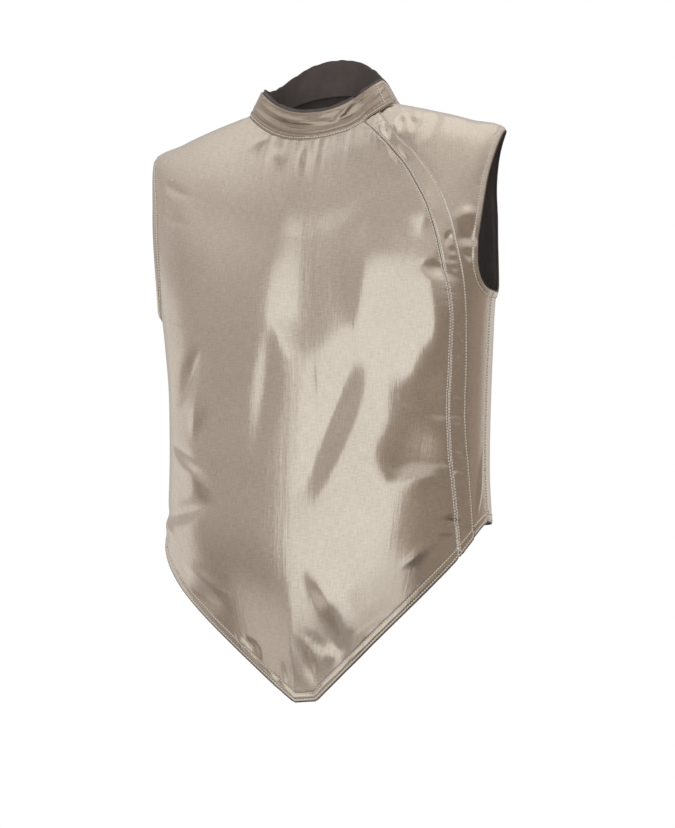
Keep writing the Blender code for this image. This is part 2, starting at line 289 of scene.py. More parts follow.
def uneven(run, period, seed):
    """Irregular wave of about one period, between -1 and 1."""
    phases = np.random.default_rng(seed).uniform(0, 2 * math.pi, len(WAVE_RATIOS))
    waves = (np.sin(2 * math.pi * run / (period * ratio) + phase)
             for ratio, phase in zip(WAVE_RATIOS, phases))
    return sum(waves) * 0.35


def ripple(waves, run):
    """Irregular waves along a run, which come and go."""
    strength = waves.steady + (1 - waves.steady) * uneven(run, waves.slow, waves.seed + 1)
    return waves.depth * uneven(run, waves.period, waves.seed) * strength


def running_length(points):
    """Millimetres along each row of points, from its first."""
    steps = np.linalg.norm(np.diff(points, axis=1), axis=-1)
    return np.concatenate((np.zeros((len(points), 1)), np.cumsum(steps, axis=1)), axis=1)


# ---------- the form

RING_VALUES = np.array(RINGS, dtype=float)


def ring_at(place):
    return Ring(*np.moveaxis(along(RING_VALUES, place), -1, 0))


def ring_point(ring, angle, raised):
    sine, cosine = np.sin(np.radians(angle)), np.cos(np.radians(angle))
    front = cosine >= 0
    end_y = np.where(front, ring.front_y, ring.back_y)
    end_z = np.where(front, ring.front_z, ring.back_z)
    x = ring.side_x * signed_power(sine, 2 / ring.full)
    y = ring.side_y + (end_y - ring.side_y) * np.abs(cosine) ** (2 / ring.full)
    drop = cosine * cosine
    across = np.clip((np.abs(x) - TIP_HALF_WIDTH) / (ring.side_x - TIP_HALF_WIDTH), 0, 1)
    pointed = 1 - (1 - TIP_CURVE) * across - TIP_CURVE * across**TIP_CURVE_POWER
    drop = np.where(front, drop + ring.vee * (pointed - drop), drop)
    z = ring.side_z + (end_z - ring.side_z) * drop + raised * x
    return np.stack((x + ring.centre_x, y, z), axis=-1)


def form(angle, place):
    angle, place = np.broadcast_arrays(angle, place)
    raised = LEFT_RAISED_NECK + (LEFT_RAISED_HEM - LEFT_RAISED_NECK) * place / HEM
    return ring_point(ring_at(place), angle, raised)


def band_form(angle, drop):
    """The neckband, with drop 0 at its top and 1 at the neckline."""
    angle, drop = np.broadcast_arrays(angle, drop)
    top, low = np.array(BAND_TOP, float), np.array(RINGS[0], float)
    ring = Ring(*np.moveaxis(top + (low - top) * drop[..., None], -1, 0))
    return ring_point(ring, angle, LEFT_RAISED_NECK)


def slopes(surface, angle, place, last, turn=0.3, step=0.015):
    """Change of a surface or of a field, per degree and per ring."""
    low, high = np.maximum(place - step, 0), np.minimum(place + step, last)
    by_angle = (surface(angle + turn, place) - surface(angle - turn, place)) / (2 * turn)
    down = surface(angle, high) - surface(angle, low)
    return by_angle, (down.T / (high - low).T).T


def outward(surface, angle, place, last):
    by_angle, by_place = slopes(surface, angle, place, last)
    normal = np.cross(by_place, by_angle)
    return normal / np.linalg.norm(normal, axis=-1, keepdims=True)


def turned(angle):
    return (angle + 180) % 360 - 180


CHART_ANGLES = np.linspace(-180, 180, 1081)
CHART_PLACES = np.linspace(0, HEM, 201)
# Millimetres across the cloth from the centre front, at even angles and ring numbers
CHART = running_length(form(CHART_ANGLES[None, :], CHART_PLACES[:, None]))
CHART -= CHART[:, [len(CHART_ANGLES) // 2]]


def across_at(angle, place):
    """Reads the chart between its lines; angle lies between -180 and 180."""
    column = np.clip((angle + 180) / 360, 0, 1) * (len(CHART_ANGLES) - 1)
    row = np.clip(place / HEM, 0, 1) * (len(CHART_PLACES) - 1)
    left = np.minimum(column.astype(int), len(CHART_ANGLES) - 2)
    top = np.minimum(row.astype(int), len(CHART_PLACES) - 2)
    right_part, low_part = column - left, row - top

    def between(rows):
        return CHART[rows, left] * (1 - right_part) + CHART[rows, left + 1] * right_part
    return between(top) * (1 - low_part) + between(top + 1) * low_part


# ---------- depth of the cloth

def crease_ends(crease):
    return np.array(crease[:4], float).reshape(2, 2)


def crease_route(crease):
    """Points of a crease's run, bowed to its high side, and the way to that side."""
    share = np.linspace(0, 1, CREASE_STEPS + 1)[:, None]
    start, end = crease_ends(crease)
    run = end - start
    sideways = np.array((-run[1], run[0])) / np.linalg.norm(run)
    goes_down = run[1] < -abs(run[0]) / 2
    if (goes_down or run[0] < 0) and sideways.sum() < 0:
        sideways = -sideways
    return start + run * share + sideways * crease.bend * 4 * share * (1 - share), sideways


def crease_depth(crease, place):
    """Depth of one crease, which fades and narrows to its ends."""
    route, high_side = crease_route(crease)
    nearest, share = np.full(len(place), np.inf), np.zeros(len(place))
    offset = np.zeros(place.shape)
    for index in range(CREASE_STEPS):
        run = route[index + 1] - route[index]
        part = np.clip(((place - route[index]) @ run) / (run @ run), 0, 1)
        away = place - route[index] - part[:, None] * run
        distance = np.linalg.norm(away, axis=1)
        closer = distance < nearest
        nearest = np.where(closer, distance, nearest)
        offset = np.where(closer[:, None], away, offset)
        share = np.where(closer, (index + part) / CREASE_STEPS, share)
    rising = smooth_step(-RUN_OUT, crease.peak, share)
    falling = 1 - smooth_step(crease.peak, 1 + RUN_OUT, share)
    strength = np.where(share < crease.peak, rising, falling)
    side = smooth_step(-0.5, 0.5, (offset @ high_side) / np.maximum(nearest, 1e-6))
    width = (crease.low + (crease.high - crease.low) * side) * (FADE + (1 - FADE) * strength)
    return crease.depth * strength * bell(nearest, width)


def crease_sum(creases, across, height):
    """All creases of a table, each worked out only near its run."""
    place = np.stack((across, height), axis=-1).reshape(-1, 2)
    depth = np.zeros(len(place))
    for crease in creases:
        reach = CREASE_REACH * max(crease.high, crease.low) + abs(crease.bend)
        ends = crease_ends(crease)
        near = ((place > ends.min(0) - reach) & (place < ends.max(0) + reach)).all(1)
        if near.any():
            depth[near] += crease_depth(crease, place[near])
    return depth.reshape(across.shape)


def seam_at(place):
    """Angle of the shoulder seam, the armhole's middle or the side seam."""
    share = np.clip((place - SHOULDER_POINT) / (ARMPIT - SHOULDER_POINT), 0, 1)
    return SHOULDER_SEAM + (SIDE_SEAM - SHOULDER_SEAM) * share


ARMHOLE_MIDDLE, ARMHOLE_HALF = (SHOULDER_POINT + ARMPIT) / 2, (ARMPIT - SHOULDER_POINT) / 2


def cut_in(place, most):
    off_middle = np.minimum(np.abs(place - ARMHOLE_MIDDLE) / ARMHOLE_HALF, 1)
    return most * (1 - off_middle**ARMHOLE_FULLNESS) ** (1 / ARMHOLE_FULLNESS)


def hem_field(angle, place):
    return HEM - place


def armhole_field(angle, place):
    """0 on the armhole's edge, and positive on the cloth round it."""
    off_seam = np.abs(turned(angle)) - seam_at(place)
    cut = np.where(off_seam < 0, ARMHOLE_FRONT, ARMHOLE_BACK)
    power = ARMHOLE_FULLNESS
    off_middle = np.abs(place - ARMHOLE_MIDDLE) / ARMHOLE_HALF
    return (np.abs(off_seam / cut) ** power + off_middle**power) ** (1 / power) - 1


def closing_field(angle, place):
    return turned(angle) - ring_at(place).closing


def flap_field(angle, place):
    return ring_at(place).flap_edge - turned(angle)


def seam_field(angle, place):
    return np.abs(turned(angle)) - seam_at(place)


def distance_to(field, angle, place, turn=0.2, step=0.01):
    """Millimetres over the cloth to the line where a field is 0, signed as the field is."""
    angle = np.clip(turned(angle), 2 * turn - 180, 180 - 2 * turn)
    by_angle, by_place = slopes(field, angle, place, HEM, turn, step)
    round_body, down = slopes(form, angle, place, HEM)
    round_square, down_square = (round_body**2).sum(-1), (down**2).sum(-1)
    shared = (round_body * down).sum(-1)
    steepness = (by_angle**2 * down_square - 2 * by_angle * by_place * shared
                 + by_place**2 * round_square)
    return field(angle, place) / np.sqrt(steepness / (round_square * down_square - shared**2))


def drawn_in(row, distance):
    """Depth to which a row of stitches, a seam or an edge draws the cloth in."""
    return row.depth * bell(distance - row.distance, row.width)


def has_seam(place):
    """Whether a ring is above or below the armhole, where the panels are sewn together."""
    return (place < SHOULDER_POINT) | (place > ARMPIT)


def turned_edge(distance, run, row, stands_up, waves):
    """Profile of an edge that is turned in and stitched down, with puckers along the stitches."""
    step_start, step_end = (row.distance + end for end in TURNED_STEP)
    band = stands_up * (1 - smooth_step(step_start, step_end, distance))
    puckers = ripple(waves, run) * bell(distance - row.distance, waves.reach)
    return band - drawn_in(FOLDED_EDGE, distance) + puckers


Lines = namedtuple("Lines", "hem armhole closing flap seam")


def lines_at(angle, place):
    """Millimetres from the jacket's edges and seams."""
    fields = (hem_field, armhole_field, closing_field, flap_field, seam_field)
    return Lines(*(distance_to(field, angle, place) for field in fields))


def stitch_grooves(lines, place):
    """Depth to which stitching and seams draw the cloth in, from 0 to about 1 mm; also the mask of
    painted shade.
    """
    groove_and_shade = sum(drawn_in(row, lines.hem) for row in HEM_ROWS)
    groove_and_shade += drawn_in(ARMHOLE_ROW, lines.armhole)
    groove_and_shade += drawn_in(CLOSING_SEAM, lines.closing) + drawn_in(CLOSING_ROW, np.abs(lines.closing))
    groove_and_shade += np.where(lines.flap > -1, drawn_in(FLAP_ROW, lines.flap), 0)
    sewn_together = drawn_in(SEAM_ROW, np.abs(lines.seam)) + drawn_in(SEAM, lines.seam)
    return groove_and_shade + np.where(has_seam(place), sewn_together, 0)


def armhole_shape(angle, place, armhole):
    """The hollow beside the armhole's edge, and the squared end of the shoulder."""
    width = np.where(armhole < ARMHOLE_HOLLOW, *HOLLOW_WIDTHS)
    hollow = bell(armhole - ARMHOLE_HOLLOW, width)
    hollow = hollow * smooth_step(*HOLLOW_RINGS, place)
    stand = np.where(angle < 0, *ARMHOLE_STAND)
    stand = np.where(np.abs(angle) > ARMHOLE_BACK_START, ARMHOLE_STAND_BACK, stand)
    round_cap, down_cap = SHOULDER_CAP_WIDTHS
    from_cap = np.hypot((np.abs(angle) - SHOULDER_SEAM) / round_cap,
                        (place - SHOULDER_POINT) / down_cap)
    return SHOULDER_CAP * bell(from_cap, 1) - stand * hollow


def closing_shape(closing, low, height):
    """Ripples and puckers along the closing seam."""
    depth = (1 + low) * ripple(CLOSING_RIPPLE, height) * bell(closing, CLOSING_RIPPLE.reach)
    for pucker in PUCKERS:
        middle, half = (pucker.start + pucker.end) / 2, (pucker.end - pucker.start) / 2
        across_seam = bell(closing - middle, half)
        depth += pucker.depth * across_seam * bell(height - pucker.height, PUCKER_WIDTH)
    return depth


def cloth_depth(angle, place):
    """How far the jacket's cloth stands off its form, from creases, seams and turned edges."""
    angle = turned(angle)
    across, height = across_at(angle, place), form(angle, place)[..., 2]
    lines = lines_at(angle, place)
    low = smooth_step(*LOW_RINGS, place)
    depth = crease_sum(CREASES, across, height) - stitch_grooves(lines, place)
    depth += turned_edge(lines.hem, across, HEM_ROWS[1], TURNED_HEM, HEM_RIPPLE)
    depth += turned_edge(lines.armhole, height, ARMHOLE_ROW, TURNED_ARMHOLE, ARMHOLE_RIPPLE)
    depth += armhole_shape(angle, place, lines.armhole)
    depth += ripple(NECK_RIPPLE, across) * np.exp(-place / NECK_RIPPLE.reach)
    depth += closing_shape(lines.closing, low, height)
    low = low + smooth_step(SHOULDER_POINT, ARMPIT, place)
    waves = (1 + SEAM_GROWTH * low) * ripple(SEAM_RIPPLE, height)
    waves = waves * bell(lines.seam, SEAM_RIPPLE.reach)
    return depth + np.where(has_seam(place), waves, 0)


def flap_lift(angle, place):
    """The front and its flap climb gently towards the closing seam, to lie on the left front."""
    before = ring_at(place).closing - turned(angle)
    return LAP_LIFT * (1 - smooth_step(0, LAP_CLIMB, before))


def no_lift(angle, place):
    return 0


def cloth_point(angle, place, lift):
    depth = lift(angle, place) + cloth_depth(angle, place)
    angle = turned(angle)
    return form(angle, place) + outward(form, angle, place, HEM) * np.asarray(depth)[..., None]


# ---------- shells of cloth

# Millimetres from the hem and from the other edges at which a panel has its rows and columns
HEM_LINES = (12, 10.6, 9.6, 8.9, 8.4, 7.7, 6.2, 4.4, 3.1, 2.4, 1.9, 1.3, 0.6, 0)
EDGE_LINES = (0, 0.6, 1.2, 1.8, 2.5, 3.6, 5, 6.1, 7.2, 8.8, 11)
SHOULDER_ROWS, ARMHOLE_ROWS, SIDE_ROWS, SKIRT_ROWS = 40, 84, 92, 42
NEAR_HEM = 1e-3  # rings above the hem at which its slope is taken
EDGE_SHARE = 2.6  # a panel narrower than this many edge widths has its lines closer
SHARP_EDGE = 55  # degrees from which an edge isn't smoothed over


def upper_rows():
    """Ring numbers down to the waist, closer where the armhole turns."""
    shoulder = np.linspace(0, SHOULDER_POINT, SHOULDER_ROWS)[:-1]
    turn = np.linspace(0, math.pi, ARMHOLE_ROWS)
    armhole = (ARMHOLE_MIDDLE - ARMHOLE_HALF * np.cos(turn))[:-1]
    return np.concatenate((shoulder, armhole, np.linspace(ARMPIT, WAIST, SIDE_ROWS)))


def rings_per_mm(angle):
    """Ring numbers in a millimetre of cloth just above the hem."""
    return NEAR_HEM / distance_to(hem_field, angle, np.full(angle.shape, HEM - NEAR_HEM))


def places_at(angle):
    """Ring numbers of all the rows; the last ones keep their distance from the hem."""
    upper = upper_rows()
    count = len(upper)
    places = np.empty(angle.shape)
    places[:count] = upper[:, None]
    per_mm = rings_per_mm(angle[count:])
    hem_top = HEM - HEM_LINES[0] * per_mm[:SKIRT_ROWS]
    share = (np.arange(1, SKIRT_ROWS + 1) / (SKIRT_ROWS + 1))[:, None]
    places[count:count + SKIRT_ROWS] = WAIST + (hem_top - WAIST) * share
    lines = np.array(HEM_LINES)[:, None]
    places[count + SKIRT_ROWS:] = HEM - lines * per_mm[SKIRT_ROWS:]
    return np.minimum(places, HEM)


def spread(width, count):
    """Places over a width: set lines near both edges and even steps between them."""
    lines = np.array(EDGE_LINES)
    scale = np.minimum(1, width / (EDGE_SHARE * lines[-1]))[:, None]
    near = lines[None, :] * scale
    inner = np.linspace(0, 1, count + 2)[None, 1:-1]
    middle = near[:, -1:] + (width[:, None] - 2 * near[:, -1:]) * inner
    return np.concatenate((near, middle, width[:, None] - near[:, ::-1]), axis=1)


def body_grid(left, right, columns):
    """Angles and ring numbers of a panel's rows and columns."""
    upper = upper_rows()
    nominal = np.concatenate((upper, np.linspace(WAIST, HEM, SKIRT_ROWS + len(HEM_LINES))))
    start, end = left(nominal), right(nominal)
    fine = np.linspace(0, 1, 241)
    angles = start[:, None] + (end - start)[:, None] * fine
    run = running_length(form(turned(angles), nominal[:, None]))
    wanted = spread(run[:, -1], columns)
    shares = np.array([np.interp(row, line, fine) for row, line in zip(wanted, run)])
    angle = start[:, None] + (end - start)[:, None] * shares
    for _ in range(3):
        place = places_at(angle)
        start, end = left(place), right(place)
        angle = start + (end - start) * shares
    return angle, place


def deselect():
    bpy.ops.object.select_all(action="DESELECT")


def select_only(thing):
    deselect()
    thing.select_set(True)
    bpy.context.view_layer.objects.active = thing


def sheet_of(name, points, pattern, painted_groove_shade):
    """A sheet over rows and columns of points, with its weave's place in metres as UV and its groove
    depths as a mask of painted shade.
    """
    rows, columns = points.shape[:2]
    deselect()
    bpy.ops.mesh.primitive_grid_add(x_subdivisions=columns - 1, y_subdivisions=rows - 1, size=2)
    sheet = bpy.context.object
    sheet.name = sheet.data.name = name
    mesh = sheet.data
    mesh.vertices.foreach_set("co", (points[::-1] * MM).ravel())
    corner = np.empty(len(mesh.loops), dtype=int)
    mesh.loops.foreach_get("vertex_index", corner)
    layer = mesh.uv_layers.active
    layer.name = "Weave"
    layer.data.foreach_set("uv", (pattern[::-1].reshape(-1, 2)[corner] * MM).ravel())
    # groove depths, which the foil turns into painted shade
    groove_and_shade = mesh.attributes.new("Groove", "FLOAT", "POINT")
    groove_and_shade.data.foreach_set("value", painted_groove_shade[::-1].astype(np.float32).ravel())
    mesh.update()
    return sheet


def finish_shell(sheet, thickness, materials, node):
    """Gives a sheet its thickness inwards and makes it stand for its solid."""
    for material in materials:
        sheet.data.materials.append(material)
    shell = sheet.modifiers.new("thickness", "SOLIDIFY")
    shell.thickness = thickness * MM
    shell.offset = -1
    shell.material_offset = shell.material_offset_rim = len(materials) - 1
    select_only(sheet)
    bpy.ops.object.modifier_apply(modifier=shell.name)
    bpy.ops.object.shade_smooth_by_angle(angle=math.radians(SHARP_EDGE))
    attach(sheet, "root")
    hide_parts(node)
    return sheet


def body_panel(name, left, right, columns, lift, centre, materials):
    """One panel of the jacket's body over the patch between two edges."""
    angle, place = body_grid(left, right, columns)
    points = cloth_point(angle, place, lift)

    def across_to(degrees):
        return across_at(np.full(place.shape, float(degrees)), place)
    across = across_at(turned(angle), place) - across_to(centre)
    across += np.where(angle > 180, across_to(180) - across_to(-180), 0)
    pattern = np.stack((across, points[..., 2]), axis=-1)
    # the groove depths, which the foil also turns into painted shade
    painted_groove_shade = stitch_grooves(lines_at(turned(angle), place), place)
    sheet = sheet_of(name, points, pattern, painted_groove_shade)
    return finish_shell(sheet, SHELL, materials, name)


SEAM_SLACK = 1.15  # the shells lie this many gaps apart


def half_gap(angle, place):
    """Angle that half a seam's gap covers."""
    degree = np.linalg.norm(form(angle + 0.5, place) - form(angle - 0.5, place), axis=-1)
    return GAP / 2 * SEAM_SLACK / degree


def front_edge(side):
    def edge(place):
        angle = seam_at(place) - cut_in(place, ARMHOLE_FRONT)
        return side * (angle - half_gap(angle, place))
    return edge


def back_edge(side):
    def edge(place):
        angle = seam_at(place) + cut_in(place, ARMHOLE_BACK)
        angle = angle + half_gap(angle, place)
        return angle if side > 0 else 360 - angle
    return edge


def closing_line(share, clear):
    """Line across the flap: share 0 is the closing seam and 1 the flap's free edge."""
    def line(place):
        ring = ring_at(place)
        angle = ring.closing + (ring.flap_edge - ring.closing) * share
        return angle + clear * half_gap(angle, place)
    return line


def band_lap(angle):
    return (CLOTH + LAP_GAP) * smooth_step(*BAND_CLIMB, angle)


def band_grooves(drop):
    from_low = (1 - drop) * BAND_HEIGHT
    return sum(drawn_in(row, from_low) for row in BAND_ROWS)


def band_depth(drop, across):
    """Wrinkles, stitched rows and turned edges of the neckband."""
    from_low, from_top = (1 - drop) * BAND_HEIGHT, (drop - COLLAR_DROP[0]) * BAND_HEIGHT
    depth = crease_sum(BAND_CREASES, across, -drop * BAND_HEIGHT) - band_grooves(drop)
    depth -= drawn_in(BAND_MIDDLE, from_low)
    depth -= drawn_in(BAND_LOW_EDGE, from_low) + drawn_in(BAND_TOP_EDGE, from_top)
    beside_rows = bell(from_low - BAND_MIDDLE.distance, BAND_ROWS_RIPPLE.reach)
    below_top = bell(from_top - 4, BAND_TOP_RIPPLE.reach)
    depth += ripple(BAND_ROWS_RIPPLE, across) * beside_rows
    return depth + ripple(BAND_TOP_RIPPLE, across + from_top * 2) * below_top


def band_point(angle, drop, lift):
    dip = smooth_step(*BAND_DIP_START, angle) * (1 - smooth_step(*BAND_DIP_END, angle))
    clear = BAND_CLEAR + BAND_CLEAR_LAP * smooth_step(*BAND_LAP_RISE, angle) - BAND_DIP * dip
    point = band_form(angle, drop) + outward(band_form, angle, drop, 1) * lift[..., None]
    point[..., 2] += clear * drop
    return point


def band_grid(start, end, columns, drops, rows):
    angle, drop = np.meshgrid(np.linspace(start, end, columns), np.linspace(*drops, rows))
    run = running_length(band_form(angle[:1], np.full((1, columns), 0.5)))[0]
    return angle, drop, np.broadcast_to(run - np.interp(0, angle[0], run), angle.shape)


def band_piece(name, grid, depth, raised_by, painted_groove_shade, thickness, materials):
    angle, drop, across = grid
    points = band_point(angle, drop, depth)
    points[..., 2] += raised_by
    pattern = np.stack((across, -drop * BAND_HEIGHT), axis=-1)
    sheet = sheet_of(name, points, pattern, painted_groove_shade)
    return finish_shell(sheet, thickness, materials, name)


def make_collar(materials):
    grid = band_grid(BAND_START, BAND_END, 300, COLLAR_DROP, 27)
    angle, drop, across = grid
    depth = band_lap(angle) + band_depth(drop, across)
    # the band's groove depths also go into the mask of painted shade
    return band_piece("collar", grid, depth, 0, band_grooves(drop), SHELL, materials)


def make_collar_lining(materials):
    """The lining, slightly uneven along its rim."""
    grid = band_grid(BAND_START, LINING_END, 260, LINING_DROP, 22)
    _, drop, across = grid
    waves = ripple(LINING_RIPPLE, across) * bell(drop, LINING_RIPPLE.reach)
    depth = waves - (CLOTH + LAP_GAP)
    raised_by = ripple(LINING_RIM_RIPPLE, across) * bell(drop, LINING_RIM_RIPPLE.reach)
    return band_piece("collar_lining", grid, depth, raised_by, 0 * drop, LINING, materials)


# ---------- stitching

STITCH_LENGTH, STITCH_PITCH, THREAD = 2.9, 3.2, 1.4
# Rows down the body, from one ring number to another, and the points of their routes
CLOSING_RUN, CLOSING_POINTS = (0.35, HEM - 0.02), 260
SIDE_RUN, SIDE_POINTS = (ARMPIT + 0.08, HEM - 0.05), 120
SHOULDER_RUN, SHOULDER_POINTS = (0.2, SHOULDER_POINT - 0.05), 80


def stitch_mesh():
    """One stitch: a short round-ended length of thread along X."""
    deselect()
    bpy.ops.mesh.primitive_uv_sphere_add(segments=6, ring_count=5, radius=0.5 * MM,
                                         rotation=(0, math.pi / 2, 0))
    stitch = bpy.context.object
    bpy.ops.object.transform_apply(location=False, rotation=True, scale=False)
    bpy.ops.object.mode_set(mode="EDIT")
    bpy.ops.mesh.select_all(action="SELECT")
    bpy.ops.transform.resize(value=(STITCH_LENGTH, THREAD, THREAD))
    bpy.ops.object.mode_set(mode="OBJECT")
    return stitch


def route_curve(name, routes):
    """A curve with one straight-sided run through each route's points."""
    curve = bpy.data.curves.new(name, "CURVE")
    curve.dimensions = "3D"
    for route in routes:
        line = curve.splines.new("POLY")
        line.points.add(len(route) - 1)
        flat = np.concatenate((route * MM, np.ones((len(route), 1))), axis=1)
        line.points.foreach_set("co", flat.ravel())
    thing = bpy.data.objects.new(name, curve)
    bpy.context.collection.objects.link(thing)
    return thing


def stitch_row(route):
    """Stitches laid one behind the other along a route."""
    guide = route_curve("guide", [route])
    row = stitch_mesh()
    array = row.modifiers.new("row", "ARRAY")
    array.fit_type, array.curve = "FIT_CURVE", guide
    array.use_relative_offset, array.use_constant_offset = False, True
    array.constant_offset_displace = (STITCH_PITCH * MM, 0, 0)
    row.modifiers.new("follow", "CURVE").object = guide
    select_only(row)
    for name in ("row", "follow"):
        bpy.ops.object.modifier_apply(modifier=name)
    bpy.data.objects.remove(guide)
    return row


def finish_line(thing, material):
    thing.data.materials.append(material)
    select_only(thing)
    bpy.ops.object.shade_smooth()
    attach(thing, "root")
    return thing


def sewn(name, routes, material):
    """Rows of stitches along routes of points, joined into one piece."""
    rows = [stitch_row(route) for route in routes]
    select_only(rows[0])
    for row in rows:
        row.select_set(True)
    if len(rows) > 1:
        bpy.ops.object.join()
    thread = rows[0]
    thread.name = thread.data.name = name
    thread.data.materials.clear()
    return finish_line(thread, material)


EDGING, EDGING_OUT = 1.5, -0.75  # thickness of the bound edge, and where its middle lies
THREAD_RISE = 0.3  # threads lie this far above the cloth's groove


def raised(lift, height):
    """A lift with a height added to it."""
    return lambda angle, place: lift(angle, place) + height


def found(distance_of, value, distance, step):
    """The value whose distance is the wanted one, found step by step from a near one."""
    for _ in range(6):
        here, ahead = distance_of(value), distance_of(value + step)
        value = value + (distance - here) * step / (ahead - here)
    return value


def seam_route(field, distance, start_angle, places, lift):
    """Stitches beside a seam down the body, on the side where its field has distance's sign."""
    angle = found(lambda angle: distance_to(field, angle, places), start_angle, distance, 0.2)
    return cloth_point(angle, places, raised(lift, THREAD_RISE))


def hem_route(distance, start, end, lift, height=THREAD_RISE):
    """A line along the hem, a distance above its edge, or below it where that is negative."""
    angle = np.append(np.arange(start, end), end)
    per_mm = rings_per_mm(angle)

    def at(above):
        return cloth_point(angle, HEM - above * per_mm, raised(lift, height))
    if distance >= 0:
        return at(distance)
    return at(0.6) + (at(0.6) - at(1.6)) * (0.6 - distance)


def armhole_route(side, distance, height=THREAD_RISE):
    """A line once round an armhole, a distance from its edge."""
    turn = np.linspace(0, 2 * math.pi, 181)
    aside, down = (signed_power(wave, 2 / ARMHOLE_FULLNESS) for wave in (np.cos(turn), np.sin(turn)))
    cut = np.where(aside < 0, ARMHOLE_FRONT, ARMHOLE_BACK)

    def at(size):
        place = ARMHOLE_MIDDLE + ARMHOLE_HALF * down * size
        return side * (seam_at(place) + cut * aside * size), place
    size = found(lambda size: distance_to(armhole_field, *at(size)), 1.03, distance, 0.01)
    return cloth_point(*at(size), raised(no_lift, height))


def band_route(drop, start, end, count=220):
    """Stitches along the neckband at one drop, or down it where the drops differ."""
    angle = np.linspace(start, end, count)
    drop = np.linspace(*drop, count)
    chart_angle, _, chart_run = band_grid(BAND_START, BAND_END, 300, (0, 1), 2)
    across = np.interp(angle, chart_angle[0], chart_run[0])
    return band_point(angle, drop, band_lap(angle) + band_depth(drop, across) + THREAD_RISE)


def edging(name, routes, material):
    """Round cord along routes of points, as the bound edge of the lining."""
    cord = route_curve(name, routes)
    cord.data.bevel_depth, cord.data.bevel_resolution = EDGING / 2 * MM, 1
    cord.data.use_fill_caps = True
    select_only(cord)
    bpy.ops.object.convert(target="MESH")
    return finish_line(cord, material)


# Stretches of the hem in degrees: front, flap, left front and back
HEM_LIFTS = (flap_lift, flap_lift, no_lift, no_lift)
EDGED = ((-SIDE_SEAM, 58.4), (59, 69.2), (69.8, SIDE_SEAM), (SIDE_SEAM, 360 - SIDE_SEAM))
STITCHED = ((-SIDE_SEAM + 1, 58), (60, 69), (71, SIDE_SEAM - 1), (SIDE_SEAM + 1, 360 - SIDE_SEAM))


def make_edging(material):
    hem = [hem_route(EDGING_OUT, *stretch, lift, -SHELL)
           for stretch, lift in zip(EDGED, HEM_LIFTS)]
    edging("edging_hem", hem, material)
    rounds = [armhole_route(side, EDGING_OUT, -SHELL) for side in (-1, 1)]
    edging("edging_armholes", rounds, material)


def make_body_stitching(material):
    down = np.linspace(*CLOSING_RUN, CLOSING_POINTS)
    ring = ring_at(down)
    sewn("stitches_closing", [
        seam_route(closing_field, way * CLOSING_ROW.distance, ring.closing, down, flap_lift)
        for way in (-1, 1)], material)
    sewn("stitches_flap", [
        seam_route(flap_field, FLAP_ROW.distance, ring.flap_edge, down, flap_lift)], material)
    sewn("stitches_hem", [
        hem_route(row.distance, *stretch, lift)
        for row in HEM_ROWS for stretch, lift in zip(STITCHED, HEM_LIFTS)], material)
    sewn("stitches_armholes", [
        armhole_route(side, ARMHOLE_ROW.distance) for side in (-1, 1)], material)
    side_run, shoulder_run = (np.linspace(*SIDE_RUN, SIDE_POINTS),
                              np.linspace(*SHOULDER_RUN, SHOULDER_POINTS))
    sewn("stitches_seams", [
        seam_route(seam_field, way * SEAM_ROW.distance, side * seam_at(places), places, no_lift)
        for side in (-1, 1) for places in (shoulder_run, side_run) for way in (-1, 1)], material)


def make_collar_stitching(material):
    """A row along the neckband, and a box of stitches at its outer end."""
    outer, inner = (BAND_END - inset for inset in BAND_BOX)
    inset = BAND_ROWS[0].distance / BAND_HEIGHT
    low, top = 1 - inset, COLLAR_DROP[0] + inset
    sewn("stitches_collar", [
        band_route((low, low), -270, outer), band_route((top, low), outer, outer, 24),
        band_route((top, low), inner, inner, 24), band_route((top, top), inner, outer, 24),
    ], material)


# ---------- materials

class Shade:
    """A socket in a node tree, with the arithmetic of its Math nodes."""

    def __init__(self, tree, socket):
        self.tree, self.socket = tree, socket

    def math(self, operation, *others):
        return node(self.tree, "ShaderNodeMath", {"operation": operation}, (self, *others))

    def __add__(self, other):
        return self.math("ADD", other)

    def __mul__(self, other):
        return self.math("MULTIPLY", other)

    def __sub__(self, other):
        return self.math("SUBTRACT", other)

    def __rsub__(self, other):
        return node(self.tree, "ShaderNodeMath", {"operation": "SUBTRACT"}, (other, self))

    __radd__, __rmul__ = __add__, __mul__


def node(tree, kind, settings, values, output=0):
    """Adds a node: its settings first, then the values or links of its sockets."""
    made = tree.nodes.new(kind)
    for key, value in settings.items():
        if key == "stops":
            ramp = made.color_ramp
            while len(ramp.elements) < len(value):
                ramp.elements.new(0.5)
            for element, (position, colour) in zip(ramp.elements, value):
                element.position, element.color = position, colour
        else:
            setattr(made, key, value)
    pairs = values.items() if isinstance(values, dict) else enumerate(values)
    for key, value in pairs:
        if isinstance(value, Shade):
            tree.links.new(value.socket, made.inputs[key])
        else:
            made.inputs[key].default_value = value
    return Shade(tree, made.outputs[output])


def new_material(name, **constants):
    made = bpy.data.materials.new(name)
    made.use_nodes = True
    tree = made.node_tree
    shader = tree.nodes["Principled BSDF"]
    for socket, value in constants.items():
        shader.inputs[socket.replace("_", " ")].default_value = value
    return made, tree, shader


def feed(shader, **shades):
    for socket, shade in shades.items():
        shade.tree.links.new(shade.socket, shader.inputs[socket.replace("_", " ")])


def tones(shade, stops):
    return node(shade.tree, "ShaderNodeValToRGB", {"stops": stops}, (shade,))


def mixed(factor, first, second):
    return node(factor.tree, "ShaderNodeMix", {"data_type": "RGBA"},
                {"Factor": factor, "A": first, "B": second}, 2)


def bumped(height, depth, **below):
    """A bump so many millimetres deep, over the surface or over the normal below it."""
    return node(height.tree, "ShaderNodeBump", {},
                {"Strength": 0.5, "Distance": depth * MM, "Height": height, **below})


